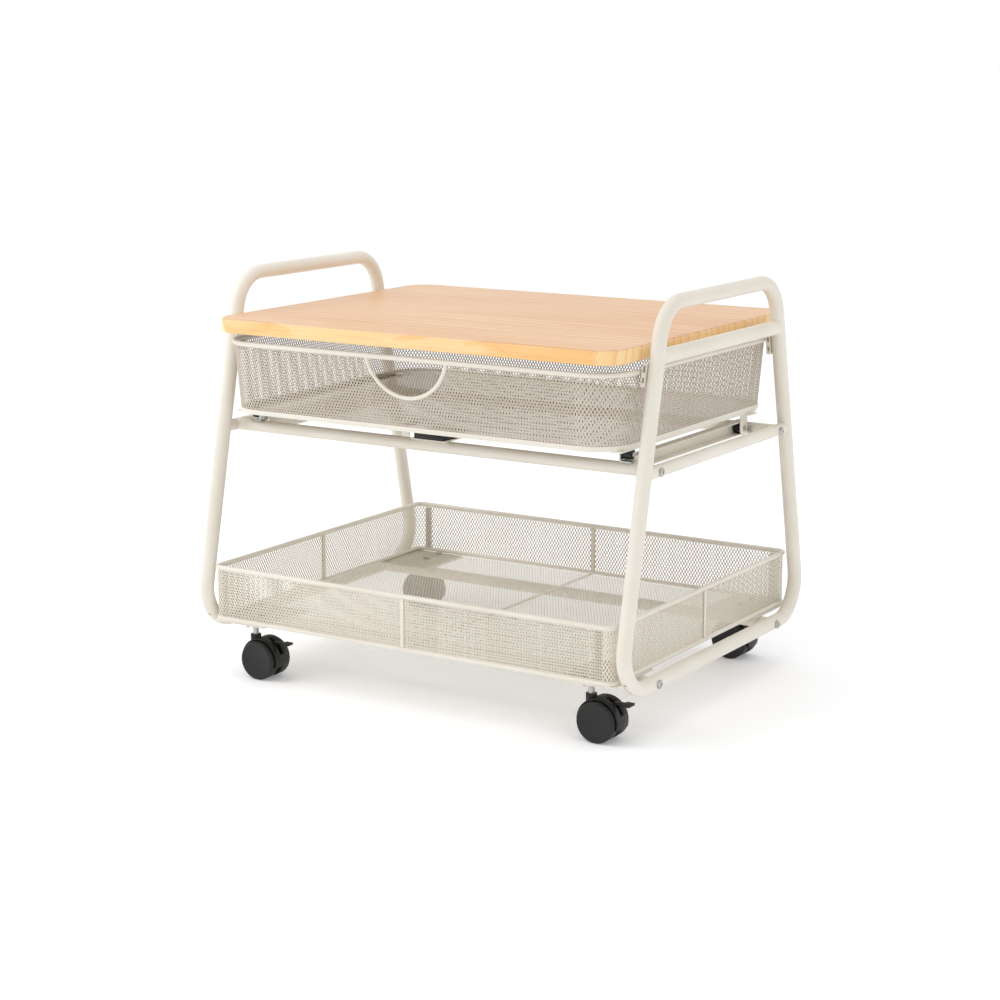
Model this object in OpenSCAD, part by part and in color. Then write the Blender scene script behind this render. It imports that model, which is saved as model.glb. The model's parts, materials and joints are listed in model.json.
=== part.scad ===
// Rolling utility cart: two tubular side hoops joined by cross tubes, a wooden
// top board, a sliding mesh drawer on rollers and a mesh tray on four casters.
// Millimetres, +Z up. X runs along the long side, the drawer opens towards -Y.
// Origin: centre of the cart on the floor.

/* [Side hoops] */
// Outer diameter of the hoop tube
hoop_d = 18; // [15:0.5:22]
// Wall thickness of all steel tube
tube_wall = 1.2; // [0.8:0.1:2]
// Distance between the centrelines of the two hoops
hoop_span = 609; // [440:1:820]
// Height of the handle bar's centreline above the floor
handle_z = 507; // [430:1:640]
// Height of the hoop's lower run above the floor, centreline
hoop_low_z = 64; // [60:0.5:80]
// Front to back distance between the leg lines at handle height
handle_len = 292.4; // [220:0.2:400]
// Front to back distance between the leg lines at the lower run
foot_len = 481.4; // [400:0.2:600]
// Centreline bend radius at the handle corners
handle_bend = 50; // [30:1:55]
// Centreline bend radius at the foot corners
foot_bend = 48; // [30:1:60]
// Diameter of the drain hole in each front foot bend
drain_d = 4; // [2:0.5:6]
// Angle of the drain hole below the horizontal, seen from the side
drain_turn = 38; // [0:1:80]

/* [Rails and cross tubes] */
// Diameter of the rail beside the top board
top_rail_d = 18; // [14:0.5:22]
// Height of the top rails' centreline above the board's underside
top_rail_rise = 4.5; // [0:0.5:8]
// Diameter of the middle side rails
mid_rail_d = 15; // [12:0.5:18]
// Height of the drawer tracks' underside above the middle rails' centreline
track_rise = 23.3; // [22.5:0.1:26]
// Diameter of the tubes that run from hoop to hoop
cross_d = 15; // [12:0.5:18]
// Distance between the front and the back cross tubes
cross_gap = 320; // [260:1:350]
// Length of the threaded plug in each end of a cross tube
plug_len = 18; // [12:1:30]
// Shank diameter of the side bolts
bolt_d = 6; // [5:1:8]
// Head diameter of the side bolts
bolt_head_d = 10.5; // [9:0.5:14]
// Head height of the side bolts
bolt_head_h = 3.2; // [2:0.2:6]

/* [Top board] */
// Gap between the board's end and each hoop
board_gap = 9; // [3:0.5:20]
// Depth of the board
board_l = 458.6; // [370:0.2:560]
// Thickness of the board
board_t = 18; // [12:0.5:30]
// Corner radius of the board
board_r = 32.5; // [15:0.5:80]
// How far the board's upper face lies below the handle bar's centreline
board_drop = 46; // [30:0.5:90]
// Width of the flat steel tabs that carry the board
tab_w = 24; // [16:1:40]
// Thickness of the board tabs
tab_t = 3; // [2:0.5:5]
// How far the tabs reach under the board
tab_reach = 32; // [20:1:60]
// Distance between the two tabs of one side
tab_gap = 220; // [160:1:250]
// Shank diameter of the board screws
wood_screw_d = 4; // [3:0.5:5]

/* [Drawer] */
// Gap between the drawer rim and each hoop
drawer_gap = 7.5; // [6.5:0.5:15]
// Outer depth of the drawer rim
drawer_l = 430.5; // [350:0.5:520]
// How far the drawer's centre lies in front of the cart's centre
drawer_front = 8.75; // [0:0.25:20]
// Outer corner radius of the drawer rim
drawer_r = 56; // [30:1:90]
// Gap between the board's underside and the top of the drawer rim
drawer_clear = 9.5; // [5:0.5:30]
// Diameter of the rim wire
drawer_rim_d = 6.5; // [5:0.5:9]
// Height of the drawer from rim top to the bottom of its band
drawer_h = 92.2; // [65:0.1:110]
// How far each side leans in from rim to band
drawer_taper = 7.5; // [0:0.5:20]
// Height of the band round the bottom of the drawer
band_h = 6; // [4:0.5:10]
// Thickness of that band
band_t = 3; // [2:0.5:5]
// Radius of the finger cut-out's wire, centreline
grip_r = 58.4; // [40:0.1:90]
// Depth of the cut-out below the rim wire's centreline
grip_depth = 48; // [30:0.5:60]
// Diameter of the cut-out's wire
grip_d = 5; // [3:0.5:6]

/* [Mesh] */
// Thickness of the expanded steel mesh sheet
mesh_t = 1.2; // [0.8:0.1:2]

/* [Drawer runners] */
// Height of the runner channel
channel_h = 17; // [14:0.5:24]
// Depth of the runner channel, web to lip
channel_w = 12; // [10:0.5:16]
// Thickness of the runner sheet
channel_t = 1.2; // [1:0.1:2]
// Distance from a hoop's centreline to the back of the channel beside it
channel_inset = 36.5; // [34:0.5:60]
// Diameter of the front rollers
front_roller_d = 12; // [10:0.2:15]
// Width of the front rollers
front_roller_w = 12; // [6:0.5:13]
// Width of the rear rollers
rear_roller_w = 7; // [5:0.5:9]
// Diameter of every roller pin
roller_pin_d = 4; // [3:0.5:5]
// Radial play between a turning piece and its pin
run_gap = 0.05; // [0.01:0.01:0.1]
// Free gap between the rear roller and each channel lip
roller_play = 0.6; // [0.4:0.1:1]
// Width of the flat track under each side of the drawer
track_w = 16; // [10:0.5:18]
// Thickness of the track
track_t = 2; // [1.5:0.1:8]

/* [Tray] */
// Gap between the tray's mesh wall and each hoop
tray_gap = 5.5; // [4:0.5:15]
// How far the tray's front and back walls lie inside the leg lines at the foot
tray_step = 8.2; // [4:0.1:30]
// Height of the tray from its underside to the rim's top
tray_h = 71.5; // [40:0.5:140]
// Outer corner radius of the tray's wall
tray_r = 11; // [8:1:30]
// Diameter of the tray's rim wire
tray_rim_d = 6; // [4:0.5:8]
// Diameter of the wire round the tray's base
tray_base_d = 5; // [3:0.5:6]
// Width of the lapped strips at the tray's corners
lap_w = 11; // [6:0.5:20]
// Width of the joint strip in the middle of each wall
joint_w = 5; // [3:0.5:10]

/* [Casters] */
// Wheel diameter
wheel_d = 50; // [40:1:52]
// Width of one wheel
wheel_w = 15.5; // [9:0.5:18]
// Thickness of the web between the two wheels
web_t = 8; // [6:0.5:12]
// Free gap between the web and each wheel
web_gap = 0.7; // [0.4:0.1:1.5]
// Width of the hood's curved cover
cover_w = 27; // [18:0.5:30]
// Distance from the stem's axis to the wheel axle
caster_trail = 15; // [12:0.5:24]
// Distance from a hoop's centreline to the stems beside it, along X
stem_inset_x = 57; // [50:1:80]
// Distance from the leg line at the foot to the stem, along Y
stem_inset_y = 37.2; // [28:0.2:60]
// Stem diameter
stem_d = 8; // [6:0.5:10]
// Height of the top of the stem socket above the floor
socket_top_z = 54.5; // [52:0.5:58]
// Axle diameter
axle_d = 6; // [4:0.5:8]
// Length and width of each caster plate, along X and Y
plate_size = [77, 95];
// Thickness of the caster plates
plate_t = 3; // [2:0.5:5]
// Distance between the two tray screws of one plate
tray_screw_gap = 32; // [24:1:50]
// Shank diameter of the tray screws
tray_screw_d = 4; // [3:0.5:6]

/* [Hidden] */
$fn = 48;
eps = 0.01;

cream = "ivory";
black = "dimgray";
steel = "silver";

// Heights, from the handle down
board_top_z = handle_z - board_drop;
board_low_z = board_top_z - board_t;
top_rail_z = board_low_z + top_rail_rise;
drawer_top_z = board_low_z - drawer_clear;
band_z = drawer_top_z - drawer_h;
track_z = band_z - track_t;
mid_rail_z = track_z - track_rise;

// Hoop outline, in the plane across the cart
hoop_x = hoop_span / 2;
hoop_r = hoop_d / 2;
head_y = handle_len / 2;
foot_y = foot_len / 2;
leg_rise = handle_z - hoop_low_z;
lean = atan((foot_y - head_y) / leg_rise);
leg_dir = [sin(lean), -cos(lean), 0];
head_run = handle_bend * tan((90 - lean) / 2);
foot_run = foot_bend * tan((90 + lean) / 2);
// Distance of the leg's centreline from the middle, at height z
function leg_y(z) = head_y + (handle_z - z) * tan(lean);

// Cross tubes and side bolts
cross_y = cross_gap / 2;
cross_r = cross_d / 2;
tube_levels = [mid_rail_z, hoop_low_z];
level_r = [mid_rail_d / 2, hoop_r];
// How far a cross tube's end laps round the rail that it is bolted to
saddle = 5;
bolt_play = 0.1;
bolt_len = 30;

// Top board
board_w = hoop_span - hoop_d - 2 * board_gap;
tab_y = tab_gap / 2;
board_screw_x = board_w / 2 - tab_reach + 10;
wood_screw_head_d = 2 * wood_screw_d;
wood_screw_head_h = 2.5;
wood_screw_bite = board_t - 8;
screw_play = 0.1;

// Drawer, front face towards -Y
rim_r = drawer_rim_d / 2;
rim_z = drawer_top_z - rim_r;
drawer_w = hoop_span - hoop_d - 2 * drawer_gap;
drawer_y = -drawer_front;
wall_top_z = rim_z - rim_r;
wall_low_z = band_z + band_h;
wall_h = wall_top_z - wall_low_z;
wall_lean = atan(drawer_taper / (rim_z - band_z));
// Outer size of the mesh wall, at height z
function wall_in(z) = rim_r - mesh_t / 2 + (rim_z - z) * tan(wall_lean);
function wall_w(z) = drawer_w - 2 * wall_in(z);
function wall_l(z) = drawer_l - 2 * wall_in(z);
function wall_r(z) = drawer_r - wall_in(z);
rim_front_y = drawer_y - drawer_l / 2 + rim_r;

// Runners
channel_x = hoop_x - channel_inset;
run_low_z = mid_rail_z - channel_h / 2 + 3;
run_mid_z = run_low_z + channel_h / 2;
run_len = cross_gap - cross_d;
track_x = channel_x - 6;
track_len = 350;
track_y = -18;
roller_gap = 0.3;
front_roller_z = track_z - roller_gap - front_roller_d / 2;
front_roller_y = -cross_y;
ear_t = 2;
ear_x = channel_x - 7;
front_roller_x = ear_x + ear_t + roller_gap;
rear_roller_d = channel_h - 2 * channel_t - 2 * roller_play;
rear_roller_y = cross_y - 22;
rear_roller_x = channel_x - channel_w + channel_t + 1.6;
hanger_x = channel_x + 1.2;
hanger_t = 2;
hanger_l = 18;
pin_head_d = roller_pin_d + 3;
pin_head_h = 1.4;
end_tab_w = 12;
tab_screw_d = 4;
tab_screw_x = channel_x + end_tab_w / 2;
tab_screw_len = 7;

// Tray
tray_w = hoop_span - hoop_d - 2 * tray_gap;
tray_l = foot_len - 2 * tray_step;
plate_z = hoop_low_z + cross_r;
tray_z = plate_z + plate_t;
tray_rim_z = tray_z + tray_h - tray_rim_d / 2;
tray_base_z = tray_z + tray_base_d / 2;
tray_wall_z = tray_z + tray_base_d;
tray_wall_h = tray_rim_z - tray_rim_d / 2 - tray_wall_z;
strip_t = 1;

// Casters: sign along X, sign along Y, direction in which the wheels trail
stem_x = hoop_x - stem_inset_x;
stem_y = foot_y - stem_inset_y;
wheel_r = wheel_d / 2;
wheel_in = web_t / 2 + web_gap;
boss_t = web_t + 6;
boss_r = wheel_r - 4.5;
boss_gap = 1;
cover_gap = 0.8;
cover_t = 1.6;
cover_r = wheel_r + cover_gap + cover_t;
cover_low_z = wheel_r - 8;
socket_d = stem_d + 5.5;
socket_low_z = wheel_r + 6;
stem_step_z = socket_top_z - 4.5;
stem_low_z = socket_low_z + 4;
stem_pin_d = 5;
stem_top_z = tray_z - 0.5;
nut_h = 6.5;
nut_across = 15;
lever_w = 6;
lever_play = 0.5;
lever_pivot = [caster_trail + 10, wheel_r + 14];
lever_pin_d = 3;
lever_tip_x = 54;
lever_z = wheel_r + 21;
pad_x = caster_trail + cover_r + 1.2;
pad_w = 14;
pad_t = 3;
plate_x = hoop_x - hoop_r - 4.5 - plate_size[0] / 2;
plate_y = foot_y - 58.2;

// ---- shared shapes --------------------------------------------------------

// Round bar from point a to point b
module bar(a, b, d) {
    v = b - a;
    translate(a)
        rotate([0, acos(v[2] / norm(v)), atan2(v[1], v[0])])
            cylinder(h = norm(v), d = d);
}

// Cylinder along X, from x on, len long
module rod_x(x, len, d) {
    translate([x, 0, 0]) rotate([0, 90, 0]) cylinder(h = len, d = d);
}

// Flat rectangle with round corners
module round_rect(w, l, r) {
    square([w - 2 * r, l], center = true);
    square([w, l - 2 * r], center = true);
    for (x = [-1, 1], y = [-1, 1])
        translate([x * (w / 2 - r), y * (l / 2 - r)]) circle(r = r);
}

// Closed ring of round wire; w, l and r are its centreline's
module wire_ring(w, l, r, d) {
    for (s = [-1, 1]) {
        bar([-w / 2 + r, s * l / 2, 0], [w / 2 - r, s * l / 2, 0], d);
        bar([s * w / 2, -l / 2 + r, 0], [s * w / 2, l / 2 - r, 0], d);
    }
    for (a = [0 : 90 : 270]) {
        x = (a == 0 || a == 270 ? 1 : -1) * (w / 2 - r);
        y = (a < 180 ? 1 : -1) * (l / 2 - r);
        translate([x, y, 0]) rotate([0, 0, a])
            rotate_extrude(angle = 90) translate([r, 0]) circle(d = d);
    }
}

// Copy to the right side, or mirrored to the left side
module on_side(s) {
    if (s > 0) children();
    else mirror([1, 0, 0]) children();
}

// ---- hoops ----------------------------------------------------------------

// One bent end of the hoop with its leg, in a plane with Y up. The bends are
// a hair thicker than the straights, which end just inside them.
module half_hoop(d) {
    lap = 0.6;
    translate([head_y - head_run, handle_z - handle_bend, 0]) rotate([0, 0, lean])
        rotate_extrude(angle = 90 - lean) translate([handle_bend, 0]) circle(d = d + 0.2);
    bar([head_y, handle_z, 0] + (head_run - lap) * leg_dir,
        [foot_y, hoop_low_z, 0] - (foot_run - lap) * leg_dir, d);
    translate([foot_y - foot_run, hoop_low_z + foot_bend, 0]) rotate([0, 0, -90])
        rotate_extrude(angle = 90 + lean) translate([foot_bend, 0]) circle(d = d + 0.2);
}

// The whole closed run of the hoop, as a round section of diameter d
module hoop_run(d) {
    lap = 0.6;
    top = head_y - head_run + lap;
    low = foot_y - foot_run + lap;
    translate([hoop_x, 0, 0]) rotate([90, 0, 90]) {
        half_hoop(d);
        mirror([1, 0, 0]) half_hoop(d);
        bar([-top, handle_z, 0], [top, handle_z, 0], d);
        bar([-low, hoop_low_z, 0], [low, hoop_low_z, 0], d);
    }
}

// Bores for the side bolts at height z, through everything out to the side
module bolt_bores(z, from_x) {
    for (y = [-cross_y, cross_y])
        translate([0, y, z]) rod_x(from_x, hoop_x + hoop_d - from_x, bolt_d + 2 * bolt_play);
}

module hoop() {
    $fn = 36;
    color(cream) difference() {
        hoop_run(hoop_d);
        bolt_bores(hoop_low_z, hoop_x - hoop_d);
        translate([hoop_x, foot_run - foot_y, hoop_low_z + foot_bend])
            rotate([90 + drain_turn, 0, 0]) translate([0, 0, foot_bend + hoop_r - 3])
                cylinder(h = hoop_d, d = drain_d);
    }
}

module left_hoop() { on_side(-1) hoop(); }
module right_hoop() { on_side(1) hoop(); }

// ---- side rails -----------------------------------------------------------

// Outer surface of both legs, to cope the rails' ends
module legs_solid() {
    translate([hoop_x, 0, 0]) rotate([90, 0, 90])
        for (m = [0, 1]) mirror([m, 0, 0])
            bar([head_y, handle_z, 0], [foot_y, hoop_low_z, 0], hoop_d);
}

// Rail between the two legs of one hoop
module side_rail(z, d, bolted) {
    half = leg_y(z) - 2;
    color(cream) difference() {
        bar([hoop_x, -half, z], [hoop_x, half, z], d);
        bar([hoop_x, -half - 1, z], [hoop_x, half + 1, z], d - 2 * tube_wall);
        legs_solid();
        if (bolted) bolt_bores(z, hoop_x - hoop_d);
    }
}

module left_top_rail() { on_side(-1) side_rail(top_rail_z, top_rail_d, false); }
module right_top_rail() { on_side(1) side_rail(top_rail_z, top_rail_d, false); }
module left_mid_rail() { on_side(-1) side_rail(mid_rail_z, mid_rail_d, true); }
module right_mid_rail() { on_side(1) side_rail(mid_rail_z, mid_rail_d, true); }

// ---- cross tubes ----------------------------------------------------------

// Tube from side to side, saddled on a rail of radius rail_r at each end
module cross_tube(y, z, rail_r) {
    half = hoop_x - rail_r + saddle;
    cavity = hoop_x - rail_r - plug_len;
    color(cream) difference() {
        bar([-half, y, z], [half, y, z], cross_d);
        bar([-cavity, y, z], [cavity, y, z], cross_d - 2 * tube_wall);
        for (s = [-1, 1]) {
            bar([s * hoop_x, y - hoop_d, z], [s * hoop_x, y + hoop_d, z], 2 * rail_r);
            translate([0, y, z]) on_side(s)
                rod_x(cavity - 1, hoop_x, bolt_d + 2 * bolt_play);
        }
        if (z == mid_rail_z) slide_screw_bores();
    }
}

module front_mid_tube() { cross_tube(-cross_y, mid_rail_z, level_r[0]); }
module back_mid_tube() { cross_tube(cross_y, mid_rail_z, level_r[0]); }
module front_base_tube() { cross_tube(-cross_y, hoop_low_z, level_r[1]); }
module back_base_tube() { cross_tube(cross_y, hoop_low_z, level_r[1]); }

// Domed bolt with its head outwards along +X
module side_bolt(rail_r) {
    rod_x(rail_r - bolt_len, bolt_len + eps, bolt_d);
    translate([rail_r, 0, 0]) rotate([0, 90, 0])
        difference() {
            intersection() {
                cylinder(h = bolt_head_h, d = bolt_head_d);
                translate([0, 0, bolt_head_h - bolt_head_d]) sphere(r = bolt_head_d);
            }
            translate([0, 0, bolt_head_h - 2]) cylinder(h = 3, d = 4.6, $fn = 6);
        }
}

module side_bolts() {
    color(steel) for (s = [-1, 1], y = [-cross_y, cross_y], i = [0, 1])
        on_side(s) translate([hoop_x, y, tube_levels[i]]) side_bolt(level_r[i]);
}

// ---- top board ------------------------------------------------------------

// Flat tab on the inside of the top rail, under the board
module board_tab() {
    difference() {
        translate([board_w / 2 - tab_reach, tab_y - tab_w / 2, board_low_z - tab_t])
            cube([hoop_x - board_w / 2 + tab_reach, tab_w, tab_t]);
        bar([hoop_x, -foot_y, top_rail_z], [hoop_x, foot_y, top_rail_z], top_rail_d);
        translate([board_screw_x, tab_y, board_low_z - 2 * tab_t])
            cylinder(h = 3 * tab_t, d = wood_screw_d + 2 * screw_play);
    }
}

module board_tabs() {
    color(cream) for (s = [-1, 1], m = [0, 1]) on_side(s) mirror([0, m, 0]) board_tab();
}

module top_board() {
    color("burlywood") difference() {
        translate([0, 0, board_low_z]) linear_extrude(board_t)
            round_rect(board_w, board_l, board_r);
        for (x = [-board_screw_x, board_screw_x], y = [-tab_y, tab_y])
            translate([x, y, board_low_z - 1])
                cylinder(h = wood_screw_bite + 1.5, d = wood_screw_d + 2 * screw_play);
    }
}

module board_screws() {
    color(steel) for (x = [-board_screw_x, board_screw_x], y = [-tab_y, tab_y])
        translate([x, y, board_low_z - tab_t]) {
            cylinder(h = tab_t + wood_screw_bite, d = wood_screw_d);
            translate([0, 0, -wood_screw_head_h]) cylinder(h = wood_screw_head_h,
                d1 = 0.6 * wood_screw_head_d, d2 = wood_screw_head_d);
        }
}

// ---- rim guides -----------------------------------------------------------

guide_size = [6, 14, 27];
guide_z = drawer_top_z - 7;

// Slotted block inside a leg, in line with the leg, beside the drawer rim
module rim_guide() {
    w = guide_size[0];
    l = guide_size[1];
    translate([hoop_x - hoop_r - w, -leg_y(guide_z), guide_z]) rotate([-lean, 0, 0])
        difference() {
            translate([0, -l / 2, -guide_size[2] / 2]) cube(guide_size);
            translate([w / 2 - 1.4, -l, 3]) cube([2.8, 2 * l, 8]);
            translate([w / 2 - 1.4, -l, -9]) cube([2.8, 2 * l, 6]);
        }
}

module rim_guides() {
    color(cream) for (s = [-1, 1], m = [0, 1])
        on_side(s) mirror([0, m, 0]) rim_guide();
}

// ---- drawer runners -------------------------------------------------------

// Outline of the channel across its length, lips towards +X
module channel_outline() {
    difference() {
        translate([channel_x - channel_w, run_low_z]) square([channel_w, channel_h]);
        translate([channel_x - channel_w + channel_t, run_low_z + channel_t])
            square([channel_w, channel_h - 2 * channel_t]);
    }
}

// Channel between the middle cross tubes, with a screw tab at each end
module slide_channel() {
    color(cream) difference() {
        union() {
            translate([0, run_len / 2, 0]) rotate([90, 0, 0])
                linear_extrude(run_len) channel_outline();
            for (s = [-1, 1])
                translate([channel_x - channel_w, s * (run_len - channel_t) / 2 - channel_t / 2, run_low_z])
                    cube([channel_w + end_tab_w, channel_t, channel_h - 8]);
        }
        for (y = [-run_len / 2, run_len / 2]) translate([tab_screw_x, y, mid_rail_z])
            rotate([90, 0, 0])
                cylinder(h = 4 * channel_t, d = tab_screw_d + 2 * screw_play, center = true);
    }
}

module left_slide_channel() { on_side(-1) slide_channel(); }
module right_slide_channel() { on_side(1) slide_channel(); }

// One tab screw, driven outwards into the tube at the back
module slide_screw() {
    translate([tab_screw_x, run_len / 2 - channel_t, mid_rail_z]) rotate([-90, 0, 0]) {
        cylinder(h = tab_screw_len, d = tab_screw_d);
        translate([0, 0, -2]) cylinder(h = 2, d1 = 0.7 * 2 * tab_screw_d, d2 = 2 * tab_screw_d);
    }
}

module slide_screws() {
    color(steel) for (s = [-1, 1], m = [0, 1]) on_side(s) mirror([0, m, 0]) slide_screw();
}

// Pilot bores for the tab screws in the middle cross tubes
module slide_screw_bores() {
    for (s = [-1, 1], y = [-cross_y, cross_y])
        translate([s * tab_screw_x, y - sign(y) * cross_r, mid_rail_z]) rotate([90, 0, 0])
            cylinder(h = 2 * tab_screw_len, d = tab_screw_d + 2 * screw_play, center = true);
}

// Angle on the front cross tube that carries the front roller
module front_roller_bracket() {
    foot_z = mid_rail_z + cross_r;
    difference() {
        union() {
            translate([ear_x, front_roller_y - 7.5, foot_z]) cube([16, 15, ear_t]);
            translate([ear_x, front_roller_y - 7.5, foot_z])
                cube([ear_t, 15, front_roller_z + 3.5 - foot_z]);
        }
        translate([0, front_roller_y, front_roller_z])
            rod_x(ear_x - 1, ear_t + 2, roller_pin_d);
    }
}

module front_roller_brackets() {
    color(steel) for (s = [-1, 1]) on_side(s) front_roller_bracket();
}

// Plain roller with its bore along X
module roller(x, y, z, d, w) {
    translate([0, y, z]) difference() {
        rod_x(x, w, d);
        rod_x(x - 1, w + 2, roller_pin_d + 2 * run_gap);
    }
}

module left_front_roller() {
    color(black) on_side(-1)
        roller(front_roller_x, front_roller_y, front_roller_z, front_roller_d, front_roller_w);
}
module right_front_roller() {
    color(black) on_side(1)
        roller(front_roller_x, front_roller_y, front_roller_z, front_roller_d, front_roller_w);
}
module left_rear_roller() {
    color(black) on_side(-1)
        roller(rear_roller_x, rear_roller_y, run_mid_z, rear_roller_d, rear_roller_w);
}
module right_rear_roller() {
    color(black) on_side(1)
        roller(rear_roller_x, rear_roller_y, run_mid_z, rear_roller_d, rear_roller_w);
}

module front_roller_pins() {
    color(steel) for (s = [-1, 1]) on_side(s) translate([0, front_roller_y, front_roller_z]) {
        rod_x(ear_x, ear_t + 2 * roller_gap + front_roller_w + eps, roller_pin_d);
        rod_x(front_roller_x + front_roller_w + roller_gap, pin_head_h, pin_head_d);
    }
}

module rear_roller_pins() {
    color(steel) for (s = [-1, 1]) on_side(s) translate([0, rear_roller_y, run_mid_z]) {
        rod_x(rear_roller_x - 0.6, hanger_x + hanger_t - rear_roller_x + 0.6, roller_pin_d);
        rod_x(hanger_x + hanger_t, pin_head_h, pin_head_d);
    }
}

// Plate that hangs the rear roller under the drawer's track
module rear_roller_bracket() {
    low_z = run_mid_z - hanger_l / 2;
    difference() {
        union() {
            translate([hanger_x, rear_roller_y - hanger_l / 2, run_mid_z])
                cube([hanger_t, hanger_l, track_z - run_mid_z]);
            translate([0, rear_roller_y, run_mid_z]) rod_x(hanger_x, hanger_t, hanger_l);
            translate([hanger_x, rear_roller_y - hanger_l / 2, track_z - hanger_t])
                cube([track_w - 1, hanger_l, hanger_t]);
        }
        translate([0, rear_roller_y, run_mid_z])
            rod_x(hanger_x - 1, hanger_t + 2, roller_pin_d);
    }
}

module rear_roller_brackets() {
    color(cream) for (s = [-1, 1]) on_side(s) rear_roller_bracket();
}

module drawer_tracks() {
    color(cream) for (s = [-1, 1]) on_side(s)
        translate([track_x, track_y - track_len / 2, track_z])
            cube([track_w, track_len, track_t]);
}

// ---- drawer catch ---------------------------------------------------------

catch_size = [42, 52, 8.5];
catch_y = -cross_y + 13;
catch_plate_t = 2;
strike_w = 11;
cross_top_z = mid_rail_z + cross_r;

// Plate on the front cross tube that carries the catch
module catch_bracket() {
    color(cream) translate([-catch_size[0] / 2 - 6, catch_y - catch_size[1] / 2 + 2, cross_top_z])
        cube([catch_size[0] + 8, catch_size[1] - 4, catch_plate_t]);
}

module drawer_catch() {
    z = cross_top_z + catch_plate_t;
    color(black) difference() {
        translate([-catch_size[0] / 2, catch_y - catch_size[1] / 2, z]) cube(catch_size);
        translate([-catch_size[0] / 2 - 1, catch_y - 6, z + 3]) cube([8, 12, 3]);
    }
}

// Angle under the drawer's floor beside the catch
module catch_strike() {
    x = -catch_size[0] / 2 - 7 - strike_w;
    y = catch_y - catch_size[1] / 2;
    color(cream) {
        translate([x, y, band_z - 2]) cube([strike_w, 26, 2]);
        translate([x, y, cross_top_z + 3])
            cube([strike_w, 2, band_z - cross_top_z - 3]);
    }
}

// ---- tray -----------------------------------------------------------------

// Places a copy of its children at each of the four stems
module at_stems() {
    for (x = [-1, 1], y = [-1, 1]) translate([x * stem_x, y * stem_y, 0]) children();
}

// Places a copy of its children at each of the tray's screws
module at_tray_screws() {
    at_stems() for (y = [-0.5, 0.5]) translate([0, y * tray_screw_gap, 0]) children();
}

module caster_plates() {
    color(cream) difference() {
        for (x = [-1, 1], y = [-1, 1])
            translate([x * plate_x, y * plate_y, plate_z + plate_t / 2])
                cube([plate_size[0], plate_size[1], plate_t], center = true);
        at_stems() translate([0, 0, plate_z - 1])
            cylinder(h = plate_t + 2, d = stem_d + 2 * screw_play);
        at_tray_screws() translate([0, 0, plate_z - 1])
            cylinder(h = plate_t + 2, d = tray_screw_d + 2 * screw_play);
    }
}

module caster_nuts() {
    color(steel) at_stems() translate([0, 0, plate_z - nut_h]) difference() {
        cylinder(h = nut_h, d = nut_across, $fn = 6);
        translate([0, 0, -1]) cylinder(h = nut_h + 2, d = stem_d + 2 * screw_play);
    }
}

module caster_stems() {
    color(steel) at_stems() {
        translate([0, 0, stem_step_z + 0.4]) cylinder(h = stem_top_z - stem_step_z - 0.4, d = stem_d);
        translate([0, 0, stem_low_z]) cylinder(h = stem_step_z - stem_low_z + 1, d = stem_pin_d);
    }
}

module tray_rim() {
    color(cream) translate([0, 0, tray_rim_z])
        wire_ring(tray_w - mesh_t, tray_l - mesh_t, tray_r - mesh_t / 2, tray_rim_d);
}

module tray_base_ring() {
    color(cream) translate([0, 0, tray_base_z])
        wire_ring(tray_w - mesh_t, tray_l - mesh_t, tray_r - mesh_t / 2, tray_base_d);
}

module tray_walls() {
    color(cream) translate([0, 0, tray_wall_z]) linear_extrude(tray_wall_h) difference() {
        round_rect(tray_w, tray_l, tray_r);
        round_rect(tray_w - 2 * mesh_t, tray_l - 2 * mesh_t, tray_r - mesh_t);
    }
}

module tray_floor() {
    inset = mesh_t / 2 + tray_base_d / 2;
    color(cream) difference() {
        translate([0, 0, tray_z]) linear_extrude(mesh_t)
            round_rect(tray_w - 2 * inset, tray_l - 2 * inset, tray_r - inset);
        at_tray_screws() translate([0, 0, tray_z - 1])
            cylinder(h = mesh_t + 2, d = tray_screw_d + 2 * screw_play);
    }
}

// Lapped sheet at the corners and joint strips in the middle of each side; the
// middle strips clasp the wall from both faces
module tray_strips() {
    in_w = tray_w / 2 - mesh_t;
    in_l = tray_l / 2 - mesh_t;
    floor_l = tray_l - 2 * mesh_t - tray_base_d - 4;
    color(cream) {
        for (s = [-1, 1], out = [-strip_t / 2, mesh_t + strip_t / 2]) {
            translate([s * (in_w + out), 0, tray_wall_z + tray_wall_h / 2])
                cube([strip_t, joint_w, tray_wall_h], center = true);
            translate([0, s * (in_l + out), tray_wall_z + tray_wall_h / 2])
                cube([joint_w, strip_t, tray_wall_h], center = true);
        }
        for (x = [-1, 1], y = [-1, 1])
            translate([x * (in_w - tray_r - lap_w / 2), y * (in_l - strip_t / 2),
                tray_wall_z + tray_wall_h / 2])
                cube([lap_w, strip_t, tray_wall_h], center = true);
        translate([0, 0, tray_z + mesh_t + strip_t / 2])
            cube([joint_w, floor_l, strip_t], center = true);
    }
}

module tray_screws() {
    color(steel) at_tray_screws() {
        translate([0, 0, plate_z - 5]) cylinder(h = plate_t + mesh_t + 5, d = tray_screw_d);
        translate([0, 0, tray_z + mesh_t]) intersection() {
            cylinder(h = 2.6, d = 9);
            translate([0, 0, -5.4]) sphere(r = 8);
        }
    }
}

// ---- drawer ---------------------------------------------------------------

module drawer_rim() {
    color(cream) translate([0, drawer_y, rim_z])
        wire_ring(drawer_w - 2 * rim_r, drawer_l - 2 * rim_r, drawer_r - rim_r, drawer_rim_d);
}

// Solid tapered block between two heights, set in by step all round
module tapered_block(low_z, high_z, step) {
    hull() for (z = [low_z, high_z - eps])
        translate([0, drawer_y, z]) linear_extrude(eps)
            round_rect(wall_w(z) - 2 * step, wall_l(z) - 2 * step, wall_r(z) - step);
}

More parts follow.
